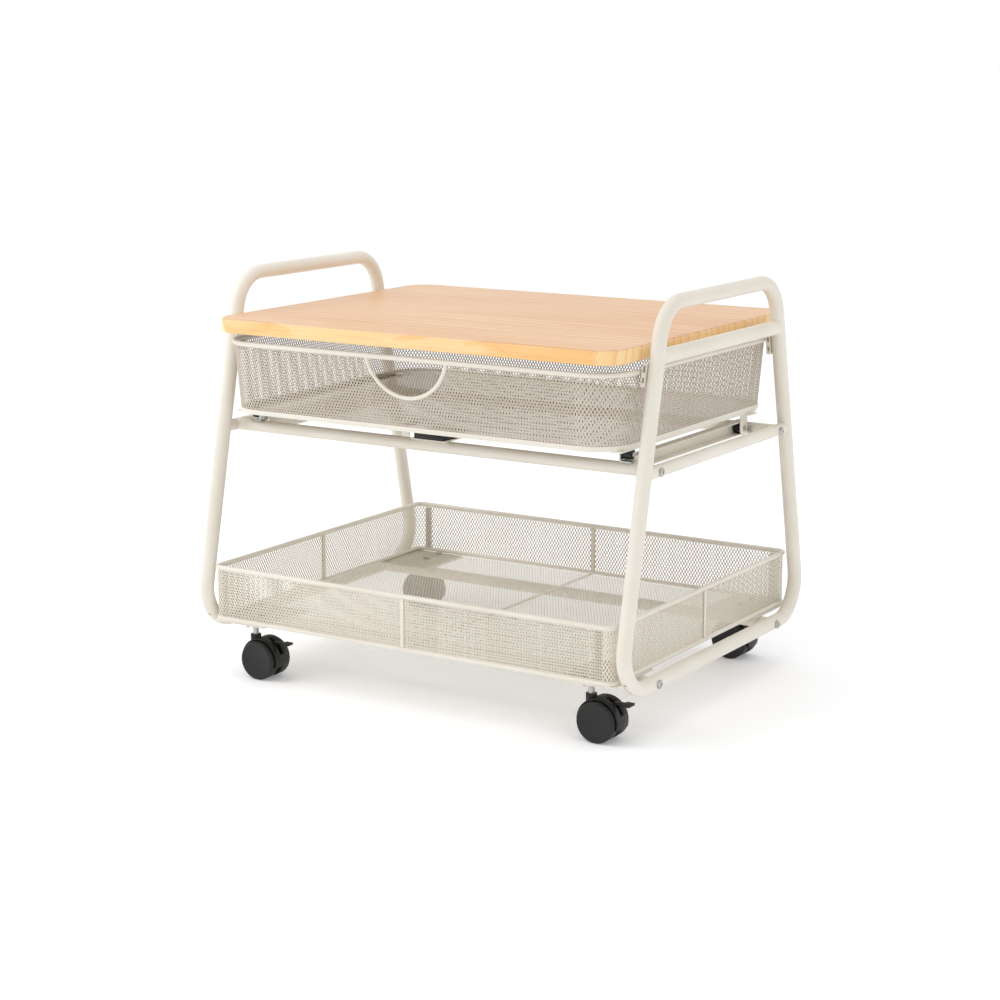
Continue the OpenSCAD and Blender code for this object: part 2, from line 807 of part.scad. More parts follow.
// The plane of the drawer's front wall, with Y up along the wall
module on_front_wall() {
    translate([0, rim_front_y, rim_z]) rotate([90 + wall_lean, 0, 0]) children();
}

module drawer_walls() {
    color(cream) difference() {
        tapered_block(wall_low_z, wall_top_z, 0);
        tapered_block(wall_low_z - 1, wall_top_z + 1, mesh_t);
        on_front_wall() translate([0, grip_r - grip_depth, -20])
            cylinder(h = 40, r = grip_r + grip_d / 2);
    }
}

module drawer_band() {
    w = wall_w(wall_low_z) + 1;
    l = wall_l(wall_low_z) + 1;
    r = wall_r(wall_low_z) + 0.5;
    color(cream) translate([0, drawer_y, band_z]) linear_extrude(band_h) difference() {
        round_rect(w, l, r);
        round_rect(w - 2 * band_t, l - 2 * band_t, r - band_t);
    }
}

module drawer_floor() {
    step = band_t - 0.5;
    w = wall_w(wall_low_z) - 2 * step;
    l = wall_l(wall_low_z) - 2 * step;
    color(cream) translate([0, drawer_y, band_z]) linear_extrude(mesh_t)
        round_rect(w, l, wall_r(wall_low_z) - step);
}

// Round wire round the finger cut-out, its ends cut to the rim wire
module drawer_handle() {
    sweep = acos((grip_r - grip_depth) / grip_r);
    color(cream) difference() {
        on_front_wall() translate([0, grip_r - grip_depth, 0]) rotate([0, 0, -90 - sweep])
            rotate_extrude(angle = 2 * sweep) translate([grip_r, 0]) circle(d = grip_d);
        bar([-2 * grip_r, rim_front_y, rim_z], [2 * grip_r, rim_front_y, rim_z], drawer_rim_d);
        translate([-2 * grip_r, rim_front_y - 20, rim_z]) cube([4 * grip_r, 40, 40]);
    }
}

// ---- casters --------------------------------------------------------------
// Each is drawn at the stem's axis with its wheels trailing along +X.

// Block as seen from the side, spread over the width w about the middle
module side_block(w) {
    translate([0, w / 2, 0]) rotate([90, 0, 0]) linear_extrude(w) children();
}

module caster_hood(braked) {
    color(black) difference() {
        union() {
            side_block(cover_w) intersection() {
                difference() {
                    translate([caster_trail, wheel_r]) circle(r = cover_r);
                    translate([caster_trail, wheel_r]) circle(r = cover_r - cover_t);
                }
                translate([-100, cover_low_z]) square([200, 100]);
            }
            side_block(web_t) intersection() {
                translate([caster_trail, wheel_r]) circle(r = cover_r - cover_t / 2);
                translate([-100, cover_low_z]) square([200, 100]);
            }
            translate([caster_trail, boss_t / 2, wheel_r]) rotate([90, 0, 0])
                cylinder(h = boss_t, r = boss_r);
            translate([0, 0, cover_r]) cylinder(h = socket_top_z - cover_r, d = socket_d);
        }
        for (m = [0, 1]) mirror([0, m, 0])
            translate([caster_trail, -web_t / 2 - web_gap / 2, wheel_r]) rotate([90, 0, 0])
                difference() {
                    cylinder(h = wheel_w, r = wheel_r + cover_gap);
                    translate([0, 0, -1]) cylinder(h = wheel_w + 2, r = boss_r + boss_gap / 2);
                }
        translate([0, 0, stem_step_z]) cylinder(h = 60, d = stem_d + 2 * run_gap);
        translate([0, 0, stem_low_z - 0.5]) cylinder(h = 60, d = stem_pin_d + 2 * run_gap);
        translate([caster_trail, 0, wheel_r]) rotate([90, 0, 0])
            cylinder(h = 2 * boss_t, d = axle_d + 2 * run_gap, center = true);
        if (braked) {
            translate([lever_pivot[0] - 5, -lever_w / 2 - lever_play, lever_pivot[1] - 6])
                cube([60, lever_w + 2 * lever_play, 60]);
            translate([lever_pivot[0], 0, lever_pivot[1]]) rotate([90, 0, 0])
                cylinder(h = 2 * boss_t, d = lever_pin_d + 2 * run_gap, center = true);
        }
    }
}

// One wheel: rim beside the web, and a disc that is recessed for the boss
module caster_wheel() {
    rim_in = wheel_r - 3;
    boss_in = (boss_t - web_t) / 2 + boss_gap;
    translate([caster_trail, -wheel_in, wheel_r]) rotate([90, 0, 0]) rotate_extrude()
        polygon([[axle_d / 2, boss_in - boss_gap + 0.3 + 0.2], [6, boss_in - boss_gap + 0.5],
            [6, boss_in + 1], [rim_in - 1, boss_in + 1], [rim_in - 1, 0], [wheel_r - 1, 0],
            [wheel_r, 1], [wheel_r, wheel_w - 2.5], [wheel_r - 1.5, wheel_w - 0.4],
            [wheel_r - 3.5, wheel_w], [wheel_r - 5, wheel_w - 0.6], [0, wheel_w - 0.6],
            [0, wheel_w - 4], [axle_d / 2, wheel_w - 4]]);
}

module caster_wheels() {
    color(black) {
        caster_wheel();
        mirror([0, 1, 0]) caster_wheel();
    }
}

module caster_axle() {
    half = wheel_in + wheel_w - 4;
    color(steel) translate([caster_trail, half, wheel_r]) rotate([90, 0, 0])
        cylinder(h = 2 * half, d = axle_d);
}

// Foot lever with trunnions that turn in the hood's boss
module brake_lever() {
    color(black) {
        side_block(lever_w) {
            translate(lever_pivot) circle(d = 7);
            translate(lever_pivot) rotate([0, 0, 48]) translate([0, -2]) square([10.5, 4]);
            translate([lever_pivot[0] + 5.5, lever_z]) square([pad_x - lever_pivot[0] - 5, pad_t]);
        }
        side_block(pad_w) translate([pad_x, lever_z]) square([lever_tip_x - pad_x, pad_t]);
        translate([lever_pivot[0], 0, lever_pivot[1]]) rotate([90, 0, 0])
            cylinder(h = boss_t - 1, d = lever_pin_d, center = true);
    }
}

// Front casters trail to the right, back casters to the left
module at_front(s) { translate([s * stem_x, -stem_y, 0]) children(); }
module at_back(s) { translate([s * stem_x, stem_y, 0]) rotate([0, 0, 180]) children(); }

module fl_caster_hood() { at_front(-1) caster_hood(true); }
module fl_caster_wheels() { at_front(-1) caster_wheels(); }
module fl_caster_axle() { at_front(-1) caster_axle(); }
module fl_brake_lever() { at_front(-1) brake_lever(); }
module fr_caster_hood() { at_front(1) caster_hood(true); }
module fr_caster_wheels() { at_front(1) caster_wheels(); }
module fr_caster_axle() { at_front(1) caster_axle(); }
module fr_brake_lever() { at_front(1) brake_lever(); }
module bl_caster_hood() { at_back(-1) caster_hood(false); }
module bl_caster_wheels() { at_back(-1) caster_wheels(); }
module bl_caster_axle() { at_back(-1) caster_axle(); }
module br_caster_hood() { at_back(1) caster_hood(false); }
module br_caster_wheels() { at_back(1) caster_wheels(); }
module br_caster_axle() { at_back(1) caster_axle(); }

// ---- parts ----------------------------------------------------------------

left_hoop();
right_hoop();
left_top_rail();
right_top_rail();
left_mid_rail();
right_mid_rail();
front_mid_tube();
back_mid_tube();
front_base_tube();
back_base_tube();
side_bolts();
board_tabs();
top_board();
board_screws();
rim_guides();
left_slide_channel();
right_slide_channel();
slide_screws();
front_roller_brackets();
left_front_roller();
right_front_roller();
front_roller_pins();
catch_bracket();
drawer_catch();
caster_plates();
caster_nuts();
caster_stems();
tray_rim();
tray_base_ring();
tray_walls();
tray_floor();
tray_strips();
tray_screws();
drawer_rim();
drawer_walls();
drawer_band();
drawer_floor();
drawer_handle();
drawer_tracks();
rear_roller_brackets();
left_rear_roller();
right_rear_roller();
rear_roller_pins();
catch_strike();
fl_caster_hood();
fl_caster_wheels();
fl_caster_axle();
fl_brake_lever();
fr_caster_hood();
fr_caster_wheels();
fr_caster_axle();
fr_brake_lever();
bl_caster_hood();
bl_caster_wheels();
bl_caster_axle();
br_caster_hood();
br_caster_wheels();
br_caster_axle();
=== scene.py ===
"""Looks of the rolling utility cart: powder-coated tube and expanded steel mesh,
a lacquered pine board and twin-wheel casters, on a pale studio floor."""

import json
import math

import bmesh
import bpy
from mathutils import Matrix, Vector


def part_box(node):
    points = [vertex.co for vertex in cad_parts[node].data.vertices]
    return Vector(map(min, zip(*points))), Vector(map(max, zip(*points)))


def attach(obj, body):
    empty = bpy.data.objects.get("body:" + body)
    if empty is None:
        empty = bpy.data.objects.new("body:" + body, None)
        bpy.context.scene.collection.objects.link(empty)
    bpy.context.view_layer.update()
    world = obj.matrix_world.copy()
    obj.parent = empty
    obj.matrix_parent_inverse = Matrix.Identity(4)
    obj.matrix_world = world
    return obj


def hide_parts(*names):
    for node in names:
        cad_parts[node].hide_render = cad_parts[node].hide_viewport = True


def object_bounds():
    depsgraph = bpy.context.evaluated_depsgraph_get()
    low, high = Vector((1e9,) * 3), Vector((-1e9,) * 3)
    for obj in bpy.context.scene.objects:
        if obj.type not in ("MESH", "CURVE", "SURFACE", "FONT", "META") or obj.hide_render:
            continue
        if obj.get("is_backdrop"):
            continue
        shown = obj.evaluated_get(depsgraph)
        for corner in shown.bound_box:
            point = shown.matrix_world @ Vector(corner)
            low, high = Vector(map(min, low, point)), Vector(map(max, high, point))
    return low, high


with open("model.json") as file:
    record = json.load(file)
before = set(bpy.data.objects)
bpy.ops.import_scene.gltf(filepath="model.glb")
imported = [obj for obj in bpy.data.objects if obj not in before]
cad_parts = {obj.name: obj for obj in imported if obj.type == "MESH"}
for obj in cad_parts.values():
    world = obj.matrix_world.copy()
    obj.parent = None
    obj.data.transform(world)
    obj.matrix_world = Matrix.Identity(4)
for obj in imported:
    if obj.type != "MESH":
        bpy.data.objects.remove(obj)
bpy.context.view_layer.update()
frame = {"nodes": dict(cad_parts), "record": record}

MM = 0.001

# Sizes in metres, the same as the CAD's
HOOP_X = 304.5 * MM
HOOP_R = 9 * MM
HANDLE_Z = 507 * MM
HOOP_LOW_Z = 64 * MM
HEAD_Y = 146.2 * MM
FOOT_Y = 240.7 * MM
HANDLE_BEND = 50 * MM
FOOT_BEND = 48 * MM
DRAIN_R = 2 * MM
DRAIN_TURN = math.radians(38)
BOARD_R = 32.5 * MM
BOARD_EDGE = 2.6 * MM
LEG_LEAN = math.atan((FOOT_Y - HEAD_Y) / (HANDLE_Z - HOOP_LOW_Z))
MESH_T = 1.2 * MM
DRAWER_R = 56 * MM
DRAWER_FLOOR_R = 46 * MM
RIM_D = 6.5 * MM
GRIP_R = 58.4 * MM
GRIP_DEPTH = 48 * MM
GRIP_D = 5 * MM
TRAY_R = 11 * MM
TRAY_FLOOR_R = 8 * MM
TRAY_RIM_D = 6 * MM
TRAY_BASE_D = 5 * MM
JOINT_W = 5 * MM
STRIP_T = 1 * MM
LAP_W = 11 * MM
# How far the drawer's walls lean in for each metre of height
WALL_LEAN = 7.5 / 88.95
# How far the mesh walls run on into the wires above and below them
TUCK = 1 * MM


# ---- materials -------------------------------------------------------------

def linear(code):
    """An sRGB hex colour as linear RGBA."""
    rgb = [int(code[i:i + 2], 16) / 255 for i in (1, 3, 5)]
    return [c / 12.92 if c <= 0.04045 else ((c + 0.055) / 1.055) ** 2.4 for c in rgb] + [1.0]


def node(tree, kind, settings=None, **inputs):
    """Adds a node, sets its properties, and links or fills its inputs by name or index."""
    n = tree.nodes.new(kind)
    for key, value in (settings or {}).items():
        setattr(n, key, value)
    for key, value in inputs.items():
        socket = n.inputs[int(key[1:])] if key[0] == "i" and key[1:].isdigit() else \
            n.inputs[key.replace("_", " ")]
        if isinstance(value, bpy.types.NodeSocket):
            tree.links.new(value, socket)
        else:
            socket.default_value = value
    return n


def new_material(name):
    """A material with a Principled shader, and its tree."""
    m = bpy.data.materials.new(name)
    m.use_nodes = True
    tree = m.node_tree
    return m, tree, tree.nodes["Principled BSDF"]


def ramp(tree, fac, stops):
    """A colour ramp from (position, hex) stops, as its colour output."""
    n = node(tree, "ShaderNodeValToRGB", Fac=fac)
    while len(n.color_ramp.elements) < len(stops):
        n.color_ramp.elements.new(0.5)
    for e, (at, code) in zip(n.color_ramp.elements, stops):
        e.position = at
        e.color = linear(code)
    return n.outputs["Color"]


def powder_coat(name, light, dark, bump):
    """Polyester powder coat, satin: an orange-peel skin about 1.5 mm across that
    breaks up the highlight, and a slight drift of tone over the frame."""
    m, t, shader = new_material(name)
    at = node(t, "ShaderNodeTexCoord").outputs["Object"]
    drift = node(t, "ShaderNodeTexNoise", Vector=at, Scale=9.0, Detail=2.0).outputs["Fac"]
    t.links.new(ramp(t, drift, [(0.35, dark), (0.65, light)]), shader.inputs["Base Color"])
    peel = node(t, "ShaderNodeTexNoise", Vector=at, Scale=650.0, Detail=2.0, Roughness=0.4)
    rough = node(t, "ShaderNodeMapRange", Value=peel.outputs["Fac"], To_Min=0.36, To_Max=0.5)
    t.links.new(rough.outputs["Result"], shader.inputs["Roughness"])
    skin = node(t, "ShaderNodeBump", Height=peel.outputs["Fac"], Strength=bump, Distance=0.0001)
    t.links.new(skin.outputs["Normal"], shader.inputs["Normal"])
    return m


def pine():
    """Lacquered pine, planed and sanded: long flat-sawn figure along X in bands some
    6 to 15 mm wide, fine fibre lines under a millimetre, and a soft sheen. The sides are
    painted lighter and more golden (painted light), and faces that point down are painted a
    darker grey-beige (painted shade), which keeps the drawer neutral inside."""
    m, t, shader = new_material("lacquered_pine")
    at = node(t, "ShaderNodeTexCoord").outputs["Object"]
    warp = node(t, "ShaderNodeTexNoise", Vector=node(t, "ShaderNodeMapping", Vector=at,
        Scale=(2.4, 9.0, 9.0)).outputs["Vector"], Scale=1.0, Detail=3.0, Roughness=0.5)
    push = node(t, "ShaderNodeVectorMath", {"operation": "SCALE"}, Vector=warp.outputs["Color"],
        Scale=0.06)
    bent = node(t, "ShaderNodeVectorMath", {"operation": "ADD"}, i0=at, i1=push.outputs["Vector"])
    rings = node(t, "ShaderNodeTexWave", {"bands_direction": "Y", "wave_profile": "SAW"},
        Vector=node(t, "ShaderNodeMapping", Vector=bent.outputs["Vector"], Scale=(0.35, 1.0, 1.3),
        Location=(0.0, 0.013, 0.0)).outputs["Vector"], Scale=17.0, Distortion=2.2, Detail=2.0,
        Detail_Scale=1.6)
    figure = ramp(t, rings.outputs["Fac"], [(0.0, "#ECC9A3"), (0.55, "#E9C29A"), (0.9, "#DFAF80"),
        (1.0, "#E7C096")])
    fibre = node(t, "ShaderNodeTexNoise", Vector=node(t, "ShaderNodeMapping", Vector=at,
        Scale=(14.0, 900.0, 900.0)).outputs["Vector"], Scale=1.0, Detail=3.0, Roughness=0.6)
    lines = ramp(t, fibre.outputs["Fac"], [(0.3, "#DDB186"), (0.5, "#FFFFFF"), (1.0, "#FFFFFF")])
    grain = node(t, "ShaderNodeMix", {"data_type": "RGBA", "blend_type": "MULTIPLY"}, i0=0.35,
        i6=figure, i7=lines)
    blotch = node(t, "ShaderNodeTexNoise", Vector=node(t, "ShaderNodeMapping", Vector=at,
        Scale=(3.0, 14.0, 14.0)).outputs["Vector"], Scale=1.0, Detail=2.0)
    tone = ramp(t, blotch.outputs["Fac"], [(0.3, "#F3DCC2"), (0.7, "#FFFFFF")])
    board = node(t, "ShaderNodeMix", {"data_type": "RGBA", "blend_type": "MULTIPLY"}, i0=0.6,
        i6=grain.outputs[2], i7=tone)
    facing = node(t, "ShaderNodeSeparateXYZ", Vector=node(t, "ShaderNodeNewGeometry")
        .outputs["Normal"]).outputs["Z"]
    # Painted shade: faces that point down get a darker grey-beige (#B9AB97) in place of the wood
    under = node(t, "ShaderNodeMath", {"operation": "LESS_THAN"}, i0=facing, i1=-0.9).outputs[0]
    # Painted light: faces that do not point up are lightened and made more golden (#FBE6C6), so
    # the board's sides read as lit
    side = node(t, "ShaderNodeMath", {"operation": "LESS_THAN"}, i0=facing, i1=0.5).outputs[0]
    board_sides_lit = node(t, "ShaderNodeMix", {"data_type": "RGBA", "blend_type": "SOFT_LIGHT"}, i0=side,
        i6=board.outputs[2], i7=linear("#FBE6C6"))
    underside_painted_shade = node(t, "ShaderNodeMix", {"data_type": "RGBA"}, i0=under, i6=board_sides_lit.outputs[2],
        i7=linear("#B9AB97"))
    t.links.new(underside_painted_shade.outputs[2], shader.inputs["Base Color"])
    shader.inputs["Roughness"].default_value = 0.42
    shader.inputs["Coat Weight"].default_value = 0.15
    shader.inputs["Coat Roughness"].default_value = 0.3
    skin = node(t, "ShaderNodeBump", Height=fibre.outputs["Fac"], Strength=0.12, Distance=0.0002)
    t.links.new(skin.outputs["Normal"], shader.inputs["Normal"])
    return m


def black_plastic():
    """Moulded black polypropylene: a fine spark-eroded texture that keeps it matt,
    with its roughness drifting a little in soft patches."""
    m, t, shader = new_material("black_polypropylene")
    at = node(t, "ShaderNodeTexCoord").outputs["Object"]
    grit = node(t, "ShaderNodeTexNoise", Vector=at, Scale=1400.0, Detail=2.0)
    cloud = node(t, "ShaderNodeTexNoise", Vector=at, Scale=60.0, Detail=2.0)
    t.links.new(ramp(t, cloud.outputs["Fac"], [(0.3, "#080808"), (0.7, "#0E0E0D")]),
        shader.inputs["Base Color"])
    rough = node(t, "ShaderNodeMapRange", Value=cloud.outputs["Fac"], To_Min=0.42, To_Max=0.58)
    t.links.new(rough.outputs["Result"], shader.inputs["Roughness"])
    skin = node(t, "ShaderNodeBump", Height=grit.outputs["Fac"], Strength=0.25, Distance=0.0001)
    t.links.new(skin.outputs["Normal"], shader.inputs["Normal"])
    return m


def zinc_plate():
    """Bright zinc-plated steel with a cloudy passivation."""
    m, t, shader = new_material("zinc_plated_steel")
    at = node(t, "ShaderNodeTexCoord").outputs["Object"]
    cloud = node(t, "ShaderNodeTexNoise", Vector=at, Scale=220.0, Detail=3.0)
    t.links.new(ramp(t, cloud.outputs["Fac"], [(0.3, "#A9A9A6"), (0.7, "#CDCDC9")]),
        shader.inputs["Base Color"])
    shader.inputs["Metallic"].default_value = 1.0
    rough = node(t, "ShaderNodeMapRange", Value=cloud.outputs["Fac"], To_Min=0.26, To_Max=0.42)
    t.links.new(rough.outputs["Result"], shader.inputs["Roughness"])
    return m


TUBE_COAT = powder_coat("ivory_powder_coat", "#EAE5DA", "#E4DDD0", 0.35)
MESH_COAT = powder_coat("ivory_mesh_coat", "#EAE3D5", "#E4DCCC", 0.2)
# Painted shade: the drawer's mesh is the same ivory coat made darker, for the shade it sits in
# under the board
SHADED_DRAWER_COAT = powder_coat("greige_mesh_coat", "#D3C9BB", "#CCC1B1", 0.2)
PINE = pine()
PLASTIC = black_plastic()
ZINC = zinc_plate()
OF_SLOT = {"cream_coat": TUBE_COAT, "pine_board": PINE, "black_plastic": PLASTIC,
    "zinc_steel": ZINC}


# ---- building helpers ------------------------------------------------------

BODY_OF = {n: b for b, names in frame["record"]["behaviour"]["bodies"].items() for n in names}
SLOT_OF = {s["node"]: s["material_slot"] for s in frame["record"]["subparts"]}


def finish_piece(obj, body, material, replaced=()):
    """Gives a piece its material (in one slot) and body, and hides the CAD nodes it stands for.
    """
    obj.data.materials.clear()
    obj.data.materials.append(material)
    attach(obj, body)
    if replaced:
        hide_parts(*replaced)
    return obj


def from_bmesh(bm, name, smooth=True):
    """A new object at the origin from a bmesh."""
    mesh = bpy.data.meshes.new(name)
    bm.to_mesh(mesh)
    bm.free()
    for p in mesh.polygons:
        p.use_smooth = smooth
    obj = bpy.data.objects.new(name, mesh)
    bpy.context.scene.collection.objects.link(obj)
    return obj


def baked(obj):
    """Applies an object's modifiers: its mesh becomes the evaluated one."""
    graph = bpy.context.evaluated_depsgraph_get()
    mesh = bpy.data.meshes.new_from_object(obj.evaluated_get(graph))
    obj.modifiers.clear()
    obj.data = mesh
    return obj


def arc(centre, start, end, radius, steps):
    """Points of an arc in a plane, angles in degrees."""
    out = []
    for i in range(steps + 1):
        a = math.radians(start + (end - start) * i / steps)
        out.append((centre[0] + radius * math.cos(a), centre[1] + radius * math.sin(a)))
    return out


def sweep(points, radius, name, closed=True, sides=24):
    """Round bar along 3-D points, with its ends closed off unless the path is."""
    pts = [Vector(p) for p in points]
    clean = [pts[0]]
    for p in pts[1:]:
        if (p - clean[-1]).length > 1e-6:
            clean.append(p)
    if closed and (clean[0] - clean[-1]).length < 1e-6:
        clean.pop()
    n = len(clean)
    up = None
    bm = bmesh.new()
    rings = []
    for i, p in enumerate(clean):
        before = clean[i - 1] if closed or i else p
        after = clean[(i + 1) % n] if closed or i < n - 1 else p
        d1 = (p - before).normalized() if (p - before).length else None
        d2 = (after - p).normalized() if (after - p).length else None
        d = ((d1 or d2) + (d2 or d1)).normalized()
        if up is None:
            up = d.orthogonal().normalized()
        up = (up - d * up.dot(d)).normalized()
        side = d.cross(up)
        stretch = 1 / max(0.7, d.dot(d1 or d2))
        bend = ((d2 or d) - (d1 or d))
        out = bend.normalized() if bend.length > 1e-6 else None
        ring = []
        for k in range(sides):
            a = 2 * math.pi * k / sides
            v = up * math.cos(a) + side * math.sin(a)
            if out is not None:
                v = v + out * (v.dot(out) * (stretch - 1))
            ring.append(bm.verts.new(p + v * radius))
        rings.append(ring)
    pairs = [(i, (i + 1) % n) for i in range(n if closed else n - 1)]
    for i, j in pairs:
        shift = 0
        if closed and j == 0:
            shift = min(range(sides), key=lambda s: (rings[j][s].co - rings[i][0].co).length)
        for k in range(sides):
            bm.faces.new([rings[i][k], rings[i][(k + 1) % sides],
                rings[j][(k + 1 + shift) % sides], rings[j][(k + shift) % sides]])
    if not closed:
        bm.faces.new(rings[0][::-1])
        bm.faces.new(rings[-1])
    bmesh.ops.recalc_face_normals(bm, faces=bm.faces[:])
    return from_bmesh(bm, name)


def ring_points(w, l, r, z, centre_y=0.0, steps=14):
    """Closed outline with round corners, from the middle of the front side."""
    x, y = w / 2, l / 2
    flat = [(0.0, -y)]
    flat += arc((x - r, r - y), -90, 0, r, steps)
    flat += arc((x - r, y - r), 0, 90, r, steps)
    flat += arc((r - x, y - r), 90, 180, r, steps)
    flat += arc((r - x, r - y), 180, 270, r, steps)
    return [(p[0], p[1] + centre_y, z) for p in flat]


def softened(name, width, material=None, segments=2, sharp=30.0):
    """Stands for a CAD node with its edges broken by a small round."""
    source = frame["nodes"][name]
    bm = bmesh.new()
    bm.from_mesh(source.data)
    bmesh.ops.remove_doubles(bm, verts=bm.verts[:], dist=1e-6)
    bmesh.ops.dissolve_limit(bm, angle_limit=math.radians(0.6), verts=bm.verts[:],
        edges=bm.edges[:])
    obj = from_bmesh(bm, name + "_finished")
    bevel = obj.modifiers.new("edge", "BEVEL")
    bevel.width = width
    bevel.segments = segments
    bevel.limit_method = "ANGLE"
    bevel.angle_limit = math.radians(sharp)
    bevel.harden_normals = False
    baked(obj)
    for p in obj.data.polygons:
        p.use_smooth = True
    obj.data.set_sharp_from_angle(angle=math.radians(38))
    slot = SLOT_OF[name]
    return finish_piece(obj, BODY_OF[name], material or OF_SLOT[slot], [name])


# ---- expanded mesh ---------------------------------------------------------

DIAMOND_W = 4.4 * MM
DIAMOND_H = 7.2 * MM
STRAND = 1.15 * MM
STRAND_T = 0.4 * MM  # thickness of every strand, across the sheet
FLOOR_STRAND = 0.75 * MM
LAP_STRAND = 0.9 * MM


def lattice_tree():
    """A Geometry Nodes tree for a sheet of diamond mesh, wrapped on a closed outline.

    Input geometry: the outline's edges. Each strand crossing gets two strands that
    rise to the next row; the flat sheet is then laid along the outline, leaning in
    or out by Lean for each metre of height. Crossings inside the cut-out go."""
    tree = bpy.data.node_groups.new("diamond mesh", "GeometryNodeTree")
    face = tree.interface
    face.new_socket("Geometry", in_out="INPUT", socket_type="NodeSocketGeometry")
    for name, kind in (("Columns", "Int"), ("Rows", "Int"), ("Row Height", "Float"),
            ("Base Z", "Float"), ("Lean", "Float"), ("Strand Width", "Float"),
            ("Cut Z", "Float"), ("Cut Radius", "Float"), ("Material", "Material")):
        face.new_socket(name, in_out="INPUT", socket_type="NodeSocket" + kind)
    face.new_socket("Geometry", in_out="OUTPUT", socket_type="NodeSocketGeometry")
    given = tree.nodes.new("NodeGroupInput").outputs

    def math_node(op, a, b=0.0, c=0.0):
        return node(tree, "ShaderNodeMath", {"operation": op}, i0=a, i1=b, i2=c).outputs[0]

    path = node(tree, "GeometryNodeMeshToCurve", Mesh=given["Geometry"]).outputs[0]
    length = node(tree, "GeometryNodeCurveLength", Curve=path).outputs["Length"]
    pitch = math_node("DIVIDE", length, given["Columns"])
    total = math_node("MULTIPLY", given["Columns"], given["Rows"])
    index = node(tree, "GeometryNodeInputIndex").outputs[0]
    row = math_node("FLOOR", math_node("DIVIDE", math_node("ADD", index, 0.5), given["Columns"]))
    column = math_node("SUBTRACT", index, math_node("MULTIPLY", row, given["Columns"]))
    shift = math_node("MULTIPLY", math_node("MODULO", row, 2.0), 0.5)
    u = math_node("MULTIPLY", math_node("ADD", column, shift), pitch)
    v = math_node("MULTIPLY", row, given["Row Height"])
    at = node(tree, "ShaderNodeCombineXYZ", X=u, Y=v).outputs[0]
    crossings = node(tree, "GeometryNodePoints", Count=total, Position=at).outputs[0]
    near = math_node("MINIMUM", u, math_node("SUBTRACT", length, u))
    drop = math_node("SUBTRACT", given["Cut Z"], math_node("ADD", given["Base Z"],
        math_node("ADD", v, math_node("MULTIPLY", given["Row Height"], 0.5))))
    away = math_node("SQRT", math_node("ADD", math_node("MULTIPLY", near, near),
        math_node("MULTIPLY", drop, drop)))
    inside = math_node("LESS_THAN", away, given["Cut Radius"])
    crossings = node(tree, "GeometryNodeDeleteGeometry", {"domain": "POINT"}, Geometry=crossings,
        Selection=inside).outputs[0]
    half = math_node("MULTIPLY", pitch, 0.5)
    ribbon = node(tree, "GeometryNodeCurvePrimitiveQuadrilateral", Width=given["Strand Width"],
        Height=STRAND_T).outputs[0]
    join = tree.nodes.new("GeometryNodeJoinGeometry")
    for sign in (-1.0, 1.0):
        tip = node(tree, "ShaderNodeCombineXYZ", X=math_node("MULTIPLY", half, sign),
            Y=given["Row Height"]).outputs[0]
        line = node(tree, "GeometryNodeCurvePrimitiveLine", End=tip).outputs[0]
        strand = node(tree, "GeometryNodeCurveToMesh", Curve=line, Profile_Curve=ribbon,
            Fill_Caps=True).outputs[0]
        tree.links.new(strand, join.inputs[0])
    sheet = node(tree, "GeometryNodeInstanceOnPoints", Points=crossings,
        Instance=join.outputs[0]).outputs[0]
    sheet = node(tree, "GeometryNodeRealizeInstances", Geometry=sheet).outputs[0]
    flat = node(tree, "ShaderNodeSeparateXYZ", Vector=node(tree,
        "GeometryNodeInputPosition").outputs[0]).outputs
    along = math_node("FLOORED_MODULO", flat["X"], length)
    sample = node(tree, "GeometryNodeSampleCurve", {"mode": "LENGTH"}, Curves=path, Length=along)
    spot = node(tree, "ShaderNodeSeparateXYZ", Vector=sample.outputs["Position"]).outputs
    way = node(tree, "ShaderNodeSeparateXYZ", Vector=sample.outputs["Tangent"]).outputs
    step = math_node("ADD", flat["Z"], math_node("MULTIPLY", flat["Y"], given["Lean"]))
    wrapped = node(tree, "ShaderNodeCombineXYZ",
        X=math_node("ADD", spot["X"], math_node("MULTIPLY", way["Y"], step)),
        Y=math_node("SUBTRACT", spot["Y"], math_node("MULTIPLY", way["X"], step)),
        Z=math_node("ADD", flat["Y"], given["Base Z"])).outputs[0]
    sheet = node(tree, "GeometryNodeSetPosition", Geometry=sheet, Position=wrapped).outputs[0]
    sheet = node(tree, "GeometryNodeSetMaterial", Geometry=sheet, Material=given["Material"])
    node(tree, "NodeGroupOutput", Geometry=sheet.outputs[0])
    return tree


